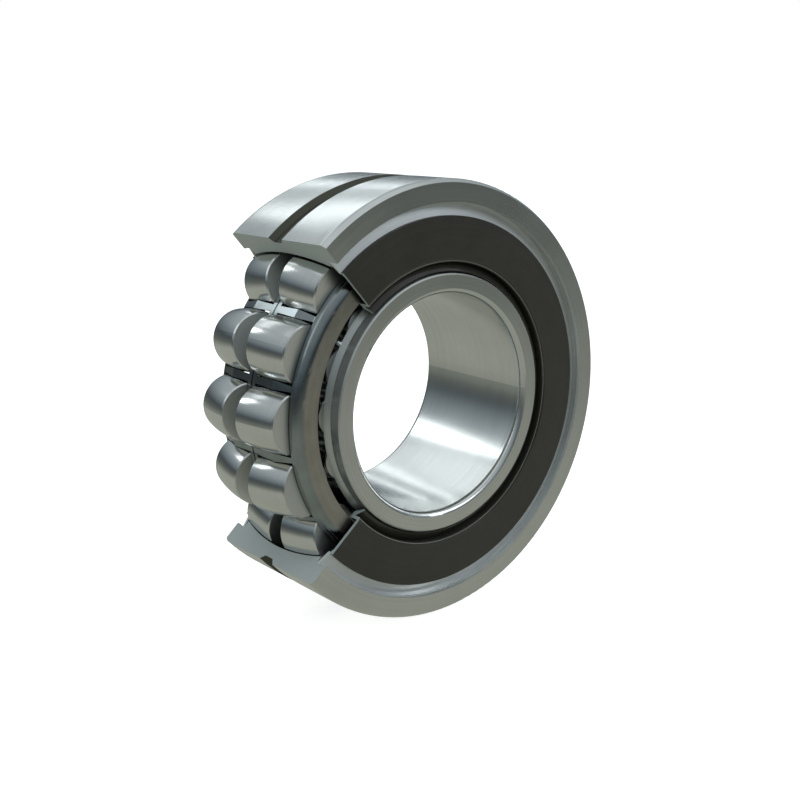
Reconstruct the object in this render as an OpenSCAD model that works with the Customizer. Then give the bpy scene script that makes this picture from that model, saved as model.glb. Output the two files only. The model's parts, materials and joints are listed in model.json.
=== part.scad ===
// Sealed double-row spherical roller bearing, shown with a sector of the outer ring and seals cut away.
// The bearing's axis is the Y axis and the origin is the centre of the bearing; front faces -Y.
// Cross-sections are drawn as [radius, distance from the mid-plane] and turned about the axis.

/* [Boundary dimensions] */
// Diameter of the bore
bore_d = 40; // [38:0.5:41]
// Outside diameter
outer_d = 80; // [79:0.5:84]
// Width of both rings
width = 28; // [28:0.5:30]
// Diameter of the seal lands on the inner ring
seal_land_d = 47.2; // [46.6:0.1:47.6]

/* [Rolling elements] */
// Rollers in each row
rollers_per_row = 16; // [10:1:16]
// Largest diameter of a barrel roller
roller_d = 11.1; // [10:0.1:11.2]
// Length of a roller
roller_len = 9; // [8:0.1:9.1]
// Contact angle of the rows
contact_angle = 10.4; // [10.2:0.1:10.6]
// Radius of the spherical raceway in the outer ring
sphere_r = 36.65; // [36.5:0.05:36.7]
// Angle of the first roller of each row from +X
first_roller_angle = -1.3; // [-11:0.1:11]
// Gap between a roller and each raceway
raceway_gap = 0.05; // [0.03:0.01:0.1]
// Width of the chamfer round each roller end
roller_edge = 0.2; // [0.15:0.05:0.4]

/* [Cages] */
// Sheet thickness of a cage
cage_t = 0.9; // [0.7:0.05:1]
// Gap between a roller and its pocket
pocket_gap = 0.12; // [0.08:0.01:0.15]
// Radius of the rolled rim of a cage
rim_r = 2; // [1.6:0.1:2.1]

/* [Seals] */
// Sheet thickness of the retaining rings
retainer_t = 0.55; // [0.4:0.05:0.6]
// Thickness of the moulded seal
seal_t = 0.6; // [0.5:0.05:0.7]
// Thickness of the steel plate inside the seal
seal_plate_t = 0.24; // [0.15:0.01:0.3]
// Gap between a seal lip and the inner ring
lip_gap = 0.25; // [0.2:0.05:0.4]

/* [Lubrication] */
// Width of the groove round the outer ring at its mouth
groove_w = 4.1; // [3.5:0.1:6]
// Depth of the groove
groove_depth = 0.95; // [0.5:0.05:1.2]
// Diameter of the radial lubrication holes
lube_hole_d = 2; // [1:0.5:2]

/* [Cutaway] */
// Sector removed from the outer ring and the seals (0 gives the complete bearing)
cutaway_angle = 91.2; // [0:0.1:120]
// Direction of the middle of the removed sector, counter-clockwise from +X seen from the front
cutaway_direction = 176.3; // [0:0.1:360]

/* [Hidden] */
function two_digits(i) = str(i < 10 ? "0" : "", i);
roller_numbers = [for (i = [1 : rollers_per_row]) i];
front_rollers = [for (i = roller_numbers) str("front_roller_", two_digits(i))];
rear_rollers = [for (i = roller_numbers) str("rear_roller_", two_digits(i))];
ring_nodes = [
  "outer_ring", "inner_ring", "guide_ring", "front_cage", "rear_cage",
  "front_retaining_ring", "rear_retaining_ring", "front_seal_plate", "rear_seal_plate",
  "front_seal_rubber", "rear_seal_rubber"
];

$fn = 180;
cut_overrun = 0.5;

// Ring sizes
bore_r = bore_d / 2;
outer_r = outer_d / 2;
half_w = width / 2;
land_r = seal_land_d / 2;
// Rounding where the outer ring's face meets its outside: along the radius, then along the axis
outer_edge = [0.65, 1.3];
// Rounding where the inner ring's face meets its bore
bore_edge = [0.94, 1.2];
land_edge = 0.25;
lube_hole_count = 3;
first_lube_hole_angle = 60;
groove_floor_w = groove_w - 2 * groove_depth;

// Roller geometry: every roller centre lies at centre_r from the origin
roller_r = roller_d / 2;
centre_r = sphere_r - raceway_gap - roller_r;
crown_osculation = 0.97;
crown_r = crown_osculation * sphere_r;
end_r = roller_r - (crown_r - sqrt(pow(crown_r, 2) - pow(roller_len / 2, 2)));
roller_pitch = 360 / rollers_per_row;
row_r = centre_r * cos(contact_angle);
row_v = centre_r * sin(contact_angle);
inner_end = [row_r + roller_len / 2 * sin(contact_angle), row_v - roller_len / 2 * cos(contact_angle)];

// Inner raceways: arcs whose centres lie on the line of contact
inner_profile_r = 36.2;
inner_profile_at = inner_profile_r + centre_r - roller_r - raceway_gap;
ridge_r = 26.1;
shoulder_inset = 2.4;

// Recess for the retaining ring in each face of the outer ring
recess_mouth_r = 35.95;
recess_r = 36.2;
recess_depth = 2.5;
mouth_depth = 0.6;
undercut_depth = 1.2;

// Retaining ring: a dished washer that springs into the recess
retainer_outer_r = recess_r;
retainer_inner_r = 33.35;
retainer_rise = 0.8;
retainer_v = half_w - recess_depth;

// Seal: a thin dished disc with a bead at its rim and a folded lip on the inner ring
seal_outer_r = 33.65;
bead_w = 0.75;
seal_inset = 0.05;
seal_dish = 0.3;
fold_r = 26.2;
fold_depth = 2.6;
lip_tip_inset = 0.4;
lip_tip_t = 0.2;

// Cage: cylindrical over the rollers' inner halves, then sloping to a rolled rim and an inward flange
cage_r = 32.2;
cage_split = 0.3;
cage_flat_end = 6.2;
rim_inset = 1.9;
slope_end_r = 31.2;
rim_v = half_w - rim_inset - rim_r;
rim_centre_r = slope_end_r - rim_r;
flange_r = 26.6;

// Guide ring: floats between the two rows, inside the cages
guide_gap = 0.1;
guide_cage_gap = 0.15;
guide_outer_r = cage_r - cage_t - guide_cage_gap;
guide_inner_r = 28.4;

STEEL = "#9a9f98";
DARK_STEEL = "#47504f";
BRIGHT_STEEL = "#c3c8c6";
RUBBER = "#37352f";

// Turns a cross-section about the bearing's axis, positive distances towards the front
module turned(from_angle = 0, sweep = 360) {
  rotate([90, 0, 0])
    rotate_extrude(angle = sweep, start = from_angle)
      children();
}

// The same, leaving out the sector that is cut away
module turned_with_cutaway() {
  turned(cutaway_direction + cutaway_angle / 2, 360 - cutaway_angle) children();
}

// Mirrors a front piece to the rear when asked
module on_side(rear) {
  mirror([0, rear ? 1 : 0, 0]) children();
}

// Closes an outline whose points above the mid-plane are given with their mirror image below it
function with_mirror_image(points) =
  concat(points, [for (i = [len(points) - 1 : -1 : 0]) [points[i][0], -points[i][1]]]);

// Draws a shape and its mirror image about the mid-plane
module both_halves() {
  children();
  mirror([0, 1]) children();
}

// Cutter for a rounded corner at the origin: tangent to the side x = 0, with an edge on y = 0
module corner_round(size) {
  round_r = (pow(size[0], 2) + pow(size[1], 2)) / (2 * size[0]);
  difference() {
    translate([-size[0], -size[1]]) square([size[0] + cut_overrun, size[1] + cut_overrun]);
    translate([-round_r, -size[1]]) circle(round_r);
  }
}

module outer_ring_section() {
  mouth_v = half_w - mouth_depth;
  undercut_v = half_w - undercut_depth;
  shoulder_v = half_w - recess_depth;
  difference() {
    translate([land_r, -half_w]) square([outer_r - land_r, width]);
    circle(sphere_r);
    both_halves() {
      polygon([
        [0, shoulder_v], [recess_r, shoulder_v], [recess_r, undercut_v], [recess_mouth_r, mouth_v],
        [recess_mouth_r, half_w + cut_overrun], [0, half_w + cut_overrun]
      ]);
      translate([outer_r, half_w]) corner_round(outer_edge);
    }
    polygon(with_mirror_image([
      [outer_r - groove_depth, groove_floor_w / 2], [outer_r + cut_overrun, groove_w / 2 + cut_overrun]
    ]));
  }
}

module outer_ring() {
  color(STEEL)
    difference() {
      turned_with_cutaway() outer_ring_section();
      for (i = [0 : lube_hole_count - 1])
        rotate([0, 90 - first_lube_hole_angle - i * 360 / lube_hole_count, 0])
          cylinder(d = lube_hole_d, h = outer_r, $fn = 48);
    }
}

module inner_ring_section() {
  shoulder_v = half_w - shoulder_inset;
  difference() {
    polygon(with_mirror_image([
      [bore_r, half_w], [land_r - land_edge, half_w], [land_r, half_w - land_edge],
      [land_r, shoulder_v], [ridge_r, shoulder_v - (ridge_r - land_r)]
    ]));
    both_halves() {
      rotate(contact_angle) translate([inner_profile_at, 0]) circle(inner_profile_r, $fn = 360);
      translate([bore_r, half_w]) mirror([1, 0]) corner_round(bore_edge);
    }
  }
}

module inner_ring() {
  color(STEEL) turned() inner_ring_section();
}

// Distance from the mid-plane of the rollers' inner end faces at radius r
function inner_end_v(r) = inner_end[1] + (r - inner_end[0]) * tan(contact_angle);

module guide_ring() {
  wide = inner_end_v(guide_outer_r) - guide_gap;
  narrow = inner_end_v(guide_inner_r) - guide_gap;
  color(DARK_STEEL)
    turned() polygon(with_mirror_image([[guide_inner_r, narrow], [guide_outer_r, wide]]));
}

module roller_blank(radius, length, crown, edge) {
  half = length / 2;
  rotate_extrude($fn = 120)
    intersection() {
      translate([radius - crown, 0]) circle(crown, $fn = 720);
      polygon([
        [0, -half], [end_r - edge, -half], [radius + edge, -half + radius - end_r + 2 * edge],
        [radius + edge, half - radius + end_r - 2 * edge], [end_r - edge, half], [0, half]
      ]);
    }
}

// Puts a piece on the axis of roller i of the front row
module at_roller(i) {
  rotate([0, -first_roller_angle - (i - 1) * roller_pitch, 0])
    translate([row_r, -row_v, 0])
      rotate([0, 0, -contact_angle])
        rotate([90, 0, 0])
          children();
}

module roller(i, rear) {
  color(BRIGHT_STEEL)
    on_side(rear)
      at_roller(i)
        roller_blank(roller_r, roller_len, crown_r, roller_edge);
}

module cage_section() {
  split_v = cage_split / 2;
  inner_rim_r = rim_r - cage_t;
  polygon([
    [cage_r - cage_t, split_v], [cage_r, split_v], [cage_r, cage_flat_end], [slope_end_r, rim_v],
    [slope_end_r - cage_t, rim_v], [cage_r - cage_t, cage_flat_end]
  ]);
  translate([rim_centre_r, rim_v])
    intersection() {
      difference() {
        circle(rim_r);
        circle(inner_rim_r);
      }
      square(rim_r);
    }
  translate([flange_r, rim_v + inner_rim_r]) square([rim_centre_r - flange_r, cage_t]);
}

module cage(rear) {
  color(DARK_STEEL)
    on_side(rear)
      difference() {
        turned() cage_section();
        for (i = roller_numbers)
          at_roller(i)
            cylinder(
              r = roller_r + pocket_gap, h = roller_len + 2 * pocket_gap, center = true, $fn = 120
            );
      }
}

module retaining_ring(rear) {
  color(BRIGHT_STEEL)
    on_side(rear)
      turned_with_cutaway()
        polygon([
          [retainer_outer_r, retainer_v], [retainer_outer_r, retainer_v + retainer_t],
          [retainer_inner_r, retainer_v + retainer_t + retainer_rise],
          [retainer_inner_r, retainer_v + retainer_rise]
        ]);
}

// Distance of the seal's front surface from the mid-plane at radius r
function seal_front_v(r) = half_w - seal_inset - seal_dish * (r - fold_r) / (seal_outer_r - fold_r);

// The plate follows the seal's disc and turns down into its fold
module seal_plate_section() {
  skin = (seal_t - seal_plate_t) / 2;
  rim = seal_outer_r - skin;
  rim_v = seal_front_v(rim) - skin;
  bend = fold_r - skin;
  bend_v = seal_front_v(bend) - skin;
  foot_v = half_w - fold_depth + 2 * skin;
  polygon([
    [rim, rim_v], [bend, bend_v], [bend - seal_plate_t, bend_v], [bend - seal_plate_t, foot_v],
    [bend, foot_v], [bend, bend_v - seal_plate_t], [rim, rim_v - seal_plate_t]
  ]);
}

module seal_section() {
  front_v = seal_front_v(fold_r);
  foot_v = half_w - fold_depth;
  bead_v = retainer_v + retainer_t + retainer_rise;
  bead_r = seal_outer_r - bead_w;
  wall_r = fold_r - seal_t;
  tip_r = land_r + lip_gap;
  tip_v = half_w - lip_tip_inset;
  polygon([
    [seal_outer_r, seal_front_v(seal_outer_r)], [fold_r, front_v], [wall_r, front_v - seal_t / 2],
    [wall_r, foot_v + 1.5 * seal_t], [tip_r + lip_tip_t, tip_v], [tip_r, tip_v - lip_tip_t],
    [wall_r - seal_t, foot_v], [fold_r, foot_v], [fold_r, front_v - seal_t],
    [bead_r, seal_front_v(bead_r) - seal_t], [bead_r, bead_v], [seal_outer_r, bead_v]
  ]);
}

module seal_plate(rear) {
  color(STEEL)
    on_side(rear)
      turned_with_cutaway()
        seal_plate_section();
}

module seal_rubber(rear) {
  color(RUBBER)
    on_side(rear)
      turned_with_cutaway()
        difference() {
          seal_section();
          seal_plate_section();
        }
}

outer_ring();
inner_ring();
guide_ring();
cage(rear = false);  // front_cage
cage(rear = true);  // rear_cage
retaining_ring(rear = false);  // front_retaining_ring
retaining_ring(rear = true);  // rear_retaining_ring
seal_plate(rear = false);  // front_seal_plate
seal_plate(rear = true);  // rear_seal_plate
seal_rubber(rear = false);  // front_seal_rubber
seal_rubber(rear = true);  // rear_seal_rubber
for (i = roller_numbers) {
  roller(i, rear = false);
  roller(i, rear = true);
}
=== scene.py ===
import json
import math

import bpy
from mathutils import Matrix, Vector


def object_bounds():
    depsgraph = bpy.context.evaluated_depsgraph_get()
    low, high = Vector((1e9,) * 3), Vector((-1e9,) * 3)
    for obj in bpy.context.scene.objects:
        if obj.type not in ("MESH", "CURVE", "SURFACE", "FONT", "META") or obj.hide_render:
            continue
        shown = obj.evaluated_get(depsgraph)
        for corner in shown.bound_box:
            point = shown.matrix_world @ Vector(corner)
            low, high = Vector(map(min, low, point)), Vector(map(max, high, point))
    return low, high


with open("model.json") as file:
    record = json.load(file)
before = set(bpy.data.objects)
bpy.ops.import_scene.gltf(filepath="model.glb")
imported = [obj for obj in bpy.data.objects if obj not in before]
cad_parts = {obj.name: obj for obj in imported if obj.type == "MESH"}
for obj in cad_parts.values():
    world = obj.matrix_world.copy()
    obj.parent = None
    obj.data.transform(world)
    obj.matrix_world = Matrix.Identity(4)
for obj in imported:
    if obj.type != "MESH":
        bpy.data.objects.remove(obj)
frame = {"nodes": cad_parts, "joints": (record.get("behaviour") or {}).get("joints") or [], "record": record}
cad_low, cad_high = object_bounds()
record = frame["record"]
nodes = frame["nodes"]
MM = 0.001


# ---------------------------------------------------------------- camera

def look_from(azimuth, elevation):
    """Unit vector from the object towards a viewer at these angles, in degrees."""
    a, e = math.radians(azimuth), math.radians(elevation)
    return Vector((math.sin(a) * math.cos(e), -math.cos(a) * math.cos(e), math.sin(e)))


def add_camera():
    data = bpy.data.cameras.new("camera")
    data.lens = 52.043
    data.sensor_width = 36.0
    data.clip_start = 0.01
    data.clip_end = 50.0
    camera = bpy.data.objects.new("camera", data)
    bpy.context.scene.collection.objects.link(camera)
    back = look_from(-39.697, 14.067)
    camera.rotation_mode = "QUATERNION"
    camera.rotation_quaternion = back.to_track_quat("Z", "Y")
    camera.location = Vector((-0.134657, -0.163746, 0.051298))
    bpy.context.scene.camera = camera


# ---------------------------------------------------------------- node helpers

class Nodes:
    """Builds a node tree with short calls."""

    def __init__(self, tree):
        self.tree = tree

    def add(self, kind, **settings):
        node = self.tree.nodes.new(kind)
        for key, value in settings.items():
            setattr(node, key, value)
        return node

    def plug(self, value, socket):
        if isinstance(value, bpy.types.NodeSocket):
            self.tree.links.new(value, socket)
        else:
            socket.default_value = value

    def math(self, operation, a, b=None, c=None):
        node = self.add("ShaderNodeMath", operation=operation)
        for value, socket in zip((a, b, c), node.inputs):
            if value is not None:
                self.plug(value, socket)
        return node.outputs[0]

    def vector(self, x, y, z):
        node = self.add("ShaderNodeCombineXYZ")
        for value, socket in zip((x, y, z), node.inputs):
            self.plug(value, socket)
        return node.outputs[0]

    def split(self, vector):
        node = self.add("ShaderNodeSeparateXYZ")
        self.plug(vector, node.inputs[0])
        return node.outputs

    def noise(self, vector, scale, detail=3.0, roughness=0.55):
        node = self.add("ShaderNodeTexNoise")
        self.plug(vector, node.inputs["Vector"])
        node.inputs["Scale"].default_value = scale
        node.inputs["Detail"].default_value = detail
        node.inputs["Roughness"].default_value = roughness
        return node.outputs["Fac"]

    def between(self, value, low, high):
        node = self.add("ShaderNodeMapRange", interpolation_type="SMOOTHSTEP")
        for v, socket in zip((value, low, high), node.inputs):
            self.plug(v, socket)
        return node.outputs[0]

    def ramp(self, value, stops):
        node = self.add("ShaderNodeValToRGB")
        elements = node.color_ramp.elements
        while len(elements) < len(stops):
            elements.new(0.5)
        for element, (at, color) in zip(elements, stops):
            element.position = at
            element.color = (*color, 1.0)
        self.plug(value, node.inputs[0])
        return node.outputs[0]

    def bump(self, height, distance, strength):
        node = self.add("ShaderNodeBump")
        node.inputs["Distance"].default_value = distance
        node.inputs["Strength"].default_value = strength
        self.plug(height, node.inputs["Height"])
        return node.outputs[0]


# ---------------------------------------------------------------- surroundings

def sine_stop(elevation):
    """Place on the sky ramp of an elevation in degrees."""
    return (math.sin(math.radians(elevation)) + 1) / 2


def add_world():
    """White to the camera; to the metal a studio: khaki ground, dark horizon, pale sky."""
    world = bpy.data.worlds.new("studio")
    bpy.context.scene.world = world
    world.use_nodes = True
    tree = world.node_tree
    tree.nodes.clear()
    n = Nodes(tree)
    direction = n.add("ShaderNodeTexCoord").outputs["Generated"]
    x, y, z = n.split(direction)
    height = n.math("MULTIPLY_ADD", z, 0.5, 0.5)
    sky = n.ramp(height, [
        (sine_stop(-90), (0.33, 0.345, 0.29)),
        (sine_stop(-16), (0.37, 0.385, 0.34)),
        (sine_stop(-7), (0.13, 0.145, 0.13)),
        (sine_stop(3), (0.06, 0.07, 0.078)),
        (sine_stop(13), (0.20, 0.24, 0.265)),
        (sine_stop(24), (0.34, 0.39, 0.41)),
        (sine_stop(42), (0.44, 0.48, 0.50)),
        (sine_stop(90), (0.40, 0.43, 0.45)),
    ])
    seen = n.add("ShaderNodeBackground")
    seen.inputs["Color"].default_value = (1.0, 1.0, 1.0, 1.0)
    studio = n.add("ShaderNodeBackground")
    n.plug(sky, studio.inputs["Color"])
    chosen = n.add("ShaderNodeMixShader")
    n.plug(n.add("ShaderNodeLightPath").outputs["Is Camera Ray"], chosen.inputs[0])
    n.plug(studio.outputs[0], chosen.inputs[1])
    n.plug(seen.outputs[0], chosen.inputs[2])
    out = n.add("ShaderNodeOutputWorld")
    n.plug(chosen.outputs[0], out.inputs["Surface"])


def softbox(name, azimuth, elevation, width, height, brightness, tint):
    """An area light that faces the object from these angles, one metre away."""
    data = bpy.data.lights.new(name, "AREA")
    data.shape = "RECTANGLE"
    data.size, data.size_y = width, height
    data.energy = brightness * width * height * math.pi
    data.color = tint
    lamp = bpy.data.objects.new(name, data)
    bpy.context.scene.collection.objects.link(lamp)
    back = look_from(azimuth, elevation)
    lamp.location = back
    lamp.rotation_mode = "QUATERNION"
    lamp.rotation_quaternion = back.to_track_quat("Z", "Y")
    lamp.visible_camera = False


def add_lights():
    cool = (0.93, 0.98, 1.0)
    softbox("back_left_window", -152, 33, 0.16, 0.20, 3.2, cool)
    softbox("back_window", 178, 45, 0.60, 0.14, 0.8, cool)
    softbox("back_right_band", 160, 35, 0.40, 0.07, 1.8, cool)
    softbox("back_right_low_band", 146, 23, 0.40, 0.05, 2.2, cool)
    softbox("left_window", -80, 38, 0.30, 0.5, 0.55, cool)
    softbox("right_window", 84, 4, 0.30, 0.45, 1.6, cool)
    softbox("front_window", 42, 34, 0.7, 0.30, 2.6, (0.93, 0.95, 1.0))
    softbox("ceiling", 0, 88, 1.2, 1.2, 0.25, cool)


def add_floor():
    low = cad_low.z
    size = 6.0
    mesh = bpy.data.meshes.new("floor")
    corners = [(-size, -size, low), (size, -size, low), (size, size, low), (-size, size, low)]
    mesh.from_pydata(corners, [], [(0, 1, 2, 3)])
    floor = bpy.data.objects.new("floor", mesh)
    bpy.context.scene.collection.objects.link(floor)
    material = bpy.data.materials.new("floor_white")
    material.use_nodes = True
    shader = material.node_tree.nodes["Principled BSDF"]
    shader.inputs["Base Color"].default_value = (0.95, 0.95, 0.95, 1.0)
    shader.inputs["Roughness"].default_value = 0.9
    shader.inputs["Specular IOR Level"].default_value = 0.0
    shader.inputs["Emission Color"].default_value = (1.0, 1.0, 1.0, 1.0)
    shader.inputs["Emission Strength"].default_value = 0.8
    mesh.materials.append(material)
    floor.visible_glossy = False
    floor.visible_diffuse = False


# ---------------------------------------------------------------- materials

def start_material(name):
    material = bpy.data.materials.new(name)
    material.use_nodes = True
    n = Nodes(material.node_tree)
    shader = material.node_tree.nodes["Principled BSDF"]
    return material, n, shader


def place(n):
    """Object coordinates, and the distance from the bearing's axis."""
    point = n.add("ShaderNodeTexCoord").outputs["Object"]
    x, y, z = n.split(point)
    radius = n.math("SQRT", n.math("ADD", n.math("MULTIPLY", x, x), n.math("MULTIPLY", z, z)))
    return point, x, y, z, radius


def turned_lines(n, across, x, z, fine, slow=25.0):
    """Streaks that follow the turning direction: fast along across, slow around the axis."""
    scaled = n.vector(n.math("MULTIPLY", across, fine), n.math("MULTIPLY", x, slow),
                      n.math("MULTIPLY", z, slow))
    return n.noise(scaled, 1.0, detail=2.0)


def ground_steel(name, colour, roughness, lines="y", anisotropy=0.5, line_depth=2.5e-6, smear=0.05,
                 metallic=1.0):
    """Ground and polished bearing steel with fine lines round the axis and faint handling marks."""
    material, n, shader = start_material(name)
    point, x, y, z, radius = place(n)
    across = y if lines == "y" else radius
    streaks = turned_lines(n, across, x, z, 5200.0)
    bands = turned_lines(n, across, x, z, 700.0, 12.0)
    clouds = n.noise(point, 90.0, detail=4.0)
    light = [min(1.0, c * 1.07) for c in colour]
    dark = [c * 0.90 for c in colour]
    tone = n.math("MULTIPLY_ADD", streaks, 0.5, n.math("MULTIPLY", clouds, 0.5))
    n.plug(n.ramp(tone, [(0.3, dark), (0.7, light)]), shader.inputs["Base Color"])
    shader.inputs["Metallic"].default_value = metallic
    rough = n.math("ADD", n.math("MULTIPLY", bands, smear),
                   n.math("MULTIPLY_ADD", clouds, smear, roughness - smear))
    n.plug(rough, shader.inputs["Roughness"])
    shader.inputs["Anisotropic"].default_value = anisotropy
    tangent = n.add("ShaderNodeTangent", direction_type="RADIAL", axis="Y")
    n.plug(tangent.outputs[0], shader.inputs["Tangent"])
    n.plug(n.bump(streaks, line_depth, 0.6), shader.inputs["Normal"])
    return material


def roller_steel(name, centre, axis):
    """Superfinished roller steel: lines round the roller's own axis, turned end faces."""
    material, n, shader = start_material(name)
    own = Matrix.Translation(centre) @ axis.to_track_quat("Z", "Y").to_matrix().to_4x4()
    inverse = own.inverted()
    mapping = n.add("ShaderNodeMapping")
    mapping.inputs["Location"].default_value = inverse.translation
    mapping.inputs["Rotation"].default_value = inverse.to_euler("XYZ")
    n.plug(n.add("ShaderNodeTexCoord").outputs["Object"], mapping.inputs["Vector"])
    point = mapping.outputs[0]
    x, y, z = n.split(point)
    radius = n.math("SQRT", n.math("ADD", n.math("MULTIPLY", x, x), n.math("MULTIPLY", y, y)))
    end_begins = 4.42 * MM
    end_face = 4.48 * MM
    on_end = n.between(n.math("ABSOLUTE", z), end_begins, end_face)
    along = n.math("ADD", n.math("MULTIPLY", z, n.math("SUBTRACT", 1.0, on_end)),
                   n.math("MULTIPLY", radius, on_end))
    streaks = n.noise(n.vector(n.math("MULTIPLY", along, 4200.0), n.math("MULTIPLY", x, 60.0),
                               n.math("MULTIPLY", y, 60.0)), 1.0, detail=2.0)
    clouds = n.noise(point, 160.0, detail=3.0)
    shade = n.math("MULTIPLY_ADD", streaks, 0.4, n.math("MULTIPLY", clouds, 0.6))
    n.plug(n.ramp(shade, [(0.3, (0.66, 0.67, 0.655)), (0.7, (0.76, 0.77, 0.755))]),
           shader.inputs["Base Color"])
    shader.inputs["Metallic"].default_value = 1.0
    smooth = n.math("MULTIPLY_ADD", clouds, 0.06, 0.15)
    n.plug(n.math("ADD", smooth, n.math("MULTIPLY", on_end, 0.16)), shader.inputs["Roughness"])
    n.plug(n.bump(streaks, 1.6e-6, 0.5), shader.inputs["Normal"])
    return material


def pressed_steel(name, colour, roughness):
    """Dark pressed sheet steel of the cages: smooth, faintly mottled, drawn lines at the rim."""
    material, n, shader = start_material(name)
    point, x, y, z, radius = place(n)
    mottle = n.noise(point, 260.0, detail=5.0, roughness=0.6)
    drawn = turned_lines(n, radius, x, z, 1500.0)
    tone = n.math("MULTIPLY_ADD", mottle, 0.6, n.math("MULTIPLY", drawn, 0.4))
    n.plug(n.ramp(tone, [(0.3, [c * 0.8 for c in colour]), (0.7, [c * 1.2 for c in colour])]),
           shader.inputs["Base Color"])
    shader.inputs["Metallic"].default_value = 1.0
    n.plug(n.math("MULTIPLY_ADD", mottle, 0.14, roughness - 0.07), shader.inputs["Roughness"])
    n.plug(n.bump(tone, 6e-6, 0.5), shader.inputs["Normal"])
    return material


def seal_rubber(name, roughness):
    """Moulded nitrile rubber: dark brown-grey, satin, with faint rings from the mould."""
    material, n, shader = start_material(name)
    point, x, y, z, radius = place(n)
    rings = turned_lines(n, radius, x, z, 900.0, 8.0)
    grain = n.noise(point, 2600.0, detail=2.0)
    dust = n.noise(point, 120.0, detail=5.0, roughness=0.65)
    tone = n.math("MULTIPLY_ADD", dust, 0.7, n.math("MULTIPLY", rings, 0.3))
    n.plug(n.ramp(tone, [(0.3, (0.036, 0.033, 0.026)), (0.7, (0.056, 0.052, 0.041))]),
           shader.inputs["Base Color"])
    n.plug(n.math("MULTIPLY_ADD", dust, 0.16, roughness - 0.08), shader.inputs["Roughness"])
    shader.inputs["Specular IOR Level"].default_value = 0.5
    height = n.math("MULTIPLY_ADD", rings, 0.6, n.math("MULTIPLY", grain, 0.4))
    n.plug(n.bump(height, 1.2e-5, 0.5), shader.inputs["Normal"])
    return material


def cut_surface(name, colour):
    """Matt finish of the sawn and milled section faces, with fine milling marks."""
    material, n, shader = start_material(name)
    point, x, y, z, radius = place(n)
    marks = n.noise(n.vector(n.math("MULTIPLY", radius, 900.0), n.math("MULTIPLY", y, 5200.0), 0.0),
                    1.0, detail=2.0)
    grain = n.noise(point, 3000.0, detail=2.0)
    tone = n.math("MULTIPLY_ADD", marks, 0.5, n.math("MULTIPLY", grain, 0.5))
    n.plug(n.ramp(tone, [(0.3, [c * 0.95 for c in colour]), (0.7, [c * 1.04 for c in colour])]),
           shader.inputs["Base Color"])
    n.plug(n.math("MULTIPLY_ADD", grain, 0.1, 0.5), shader.inputs["Roughness"])
    shader.inputs["Specular IOR Level"].default_value = 0.35
    n.plug(n.bump(tone, 6e-6, 0.5), shader.inputs["Normal"])
    return material


# ---------------------------------------------------------------- dressing the CAD nodes

def cut_angles(node):
    """The angles about the axis at which a cut-away piece starts and ends, in radians."""
    angles = sorted(math.atan2(v.co.z, v.co.x) for v in nodes[node].data.vertices)
    gaps = [(b - a, a, b) for a, b in zip(angles, angles[1:] + [angles[0] + 2 * math.pi])]
    return max(gaps)[1:]


def on_cut(centre, normal, ends):
    """Whether a face lies in one of the two planes where the sector was removed."""
    if abs(normal.y) > 0.02:
        return False
    for angle in ends:
        outward = Vector((math.cos(angle), 0, math.sin(angle)))
        across = Vector((-outward.z, 0, outward.x))
        if abs(centre.dot(across)) < 0.02 * MM and abs(normal.dot(across)) > 0.99:
            return centre.dot(outward) > 0
    return False


def dress(node, materials, choose):
    """Gives each face of a CAD node the material whose index choose(centre, normal) returns."""
    mesh = nodes[node].data
    mesh.materials.clear()
    for material in materials:
        mesh.materials.append(material)
    for face in mesh.polygons:
        face.material_index = choose(face.center, face.normal)


def axis_distance(point):
    return math.hypot(point.x, point.z)


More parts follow.
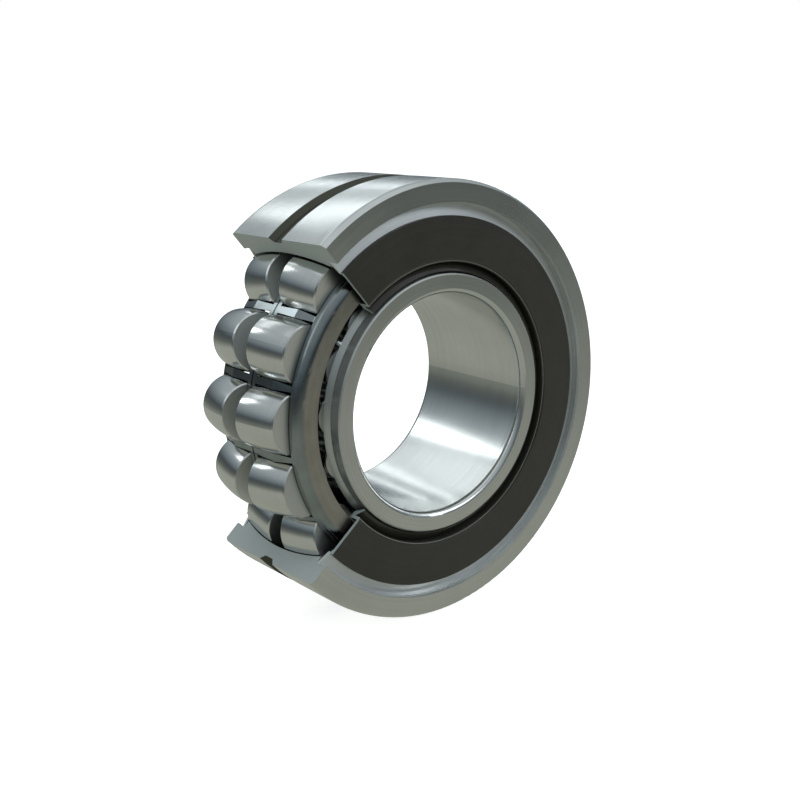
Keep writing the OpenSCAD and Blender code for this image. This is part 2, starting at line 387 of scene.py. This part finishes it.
def dress_rings():
    outside = ground_steel("steel_ground_outside", (0.70, 0.715, 0.70), 0.20, "y", 0.6)
    face = ground_steel("steel_ground_face", (0.66, 0.67, 0.65), 0.25, "r", 0.5)
    raceway = ground_steel("steel_honed_raceway", (0.72, 0.73, 0.71), 0.12, "y", 0.3)
    shoulder = ground_steel("steel_ground_shoulder", (0.60, 0.62, 0.60), 0.28, "y", 0.2, metallic=0.6)
    # Painted shade: the lubrication groove gets a near-black steel colour that stands in for the shade
    # inside the recess; only its rough turned finish is real
    groove_painted_shade = ground_steel("steel_groove_painted_shade", (0.09, 0.09, 0.072), 0.38, "y", 0.4, 5e-6)
    section = cut_surface("section_steel", (0.61, 0.66, 0.64))
    OUTSIDE, FACE, RACEWAY, GROOVE, SECTION = range(5)
    SHOULDER = 3
    ends = cut_angles("outer_ring")
    outer_radius = cad_high.x
    groove_half_width = 2.1 * MM
    groove_reach = 1.1 * MM
    on_the_outside = 0.01 * MM
    raceway_radius_limit = 36.7 * MM
    raceway_half_width = 12 * MM
    inner_raceway_radius = 24 * MM
    inner_raceway_half_width = 11 * MM
    shoulder_radius = 22 * MM
    flange_offset = 9 * MM

    def outer_zone(centre, normal):
        if on_cut(centre, normal, ends):
            return SECTION
        if abs(normal.y) > 0.95:
            return FACE
        r = axis_distance(centre)
        if r > outer_radius - groove_reach and abs(centre.y) < groove_half_width:
            # groove faces take the near-black steel, which is painted shade of the recess
            return GROOVE if r < outer_radius - on_the_outside else OUTSIDE
        outward = (normal.x * centre.x + normal.z * centre.z) / r
        in_raceway = r < raceway_radius_limit and abs(centre.y) < raceway_half_width
        return RACEWAY if outward < -0.5 and in_raceway else OUTSIDE

    def inner_zone(centre, normal):
        if abs(normal.y) > 0.95:
            return FACE
        r = axis_distance(centre)
        if r > inner_raceway_radius and abs(centre.y) < inner_raceway_half_width:
            return RACEWAY
        return SHOULDER if r > shoulder_radius else OUTSIDE

    # picks the flat end-facing flange faces for the browner copy of the cage steel, a painted reflection
    def flange_zone(centre, normal):
        return int(abs(normal.y) > 0.98 and abs(centre.y) > flange_offset)

    dress("outer_ring", [outside, face, raceway, groove_painted_shade, section], outer_zone)
    dress("inner_ring", [outside, face, raceway, shoulder], inner_zone)
    dress("guide_ring", [pressed_steel("steel_sintered", (0.22, 0.22, 0.215), 0.42)], lambda c, n: 0)
    cage = pressed_steel("steel_pressed", (0.30, 0.33, 0.335), 0.17)
    # Painted reflection: the flat flange faces get a browner, rougher copy of the cage steel whose colour
    # stands in for the brownish light they reflect
    painted_flange_reflection = pressed_steel("steel_pressed_flange_painted_reflection", (0.40, 0.38, 0.34), 0.34)
    for side in ("front", "rear"):
        dress(side + "_cage", [cage, painted_flange_reflection], flange_zone)


def dress_closures():
    bright = ground_steel("steel_sheet_bright", (0.86, 0.88, 0.885), 0.30, "r", 0.0, 8e-7, metallic=0.25)
    rubber = seal_rubber("rubber_seal", 0.44)
    lip = seal_rubber("rubber_lip", 0.16)
    plate = ground_steel("steel_sheet_plate", (0.62, 0.63, 0.62), 0.30, "r", 0.0, 8e-7)
    lip_outer_radius = 26.2 * MM
    rubber_cut = cut_surface("section_rubber", (0.56, 0.63, 0.62))
    white = cut_surface("section_sheet", (0.82, 0.86, 0.85))
    for side in ("front", "rear"):
        for part, skin, cut in (("retaining_ring", bright, white), ("seal_rubber", rubber, rubber_cut),
                                ("seal_plate", plate, rubber_cut)):
            node = side + "_" + part
            ends = cut_angles(node)
            rubbery = part == "seal_rubber"

            def zone(centre, normal, ends=ends, rubbery=rubbery):
                if on_cut(centre, normal, ends):
                    return 1
                return 2 if rubbery and axis_distance(centre) < lip_outer_radius else 0

            dress(node, [skin, cut, lip] if rubbery else [skin, cut], zone)


def dress_rollers():
    for joint in frame["joints"]:
        if "_roller_" in joint["name"]:
            node = joint["child"]
            centre, axis = Vector(joint["pos_m"]), Vector(joint["axis"])
            dress(node, [roller_steel("steel_" + node, centre, axis)], lambda c, n: 0)


def main():
    add_camera()
    bpy.context.scene.view_settings.view_transform = "Standard"
    add_world()
    add_lights()
    add_floor()
    dress_rings()
    dress_closures()
    dress_rollers()


main()
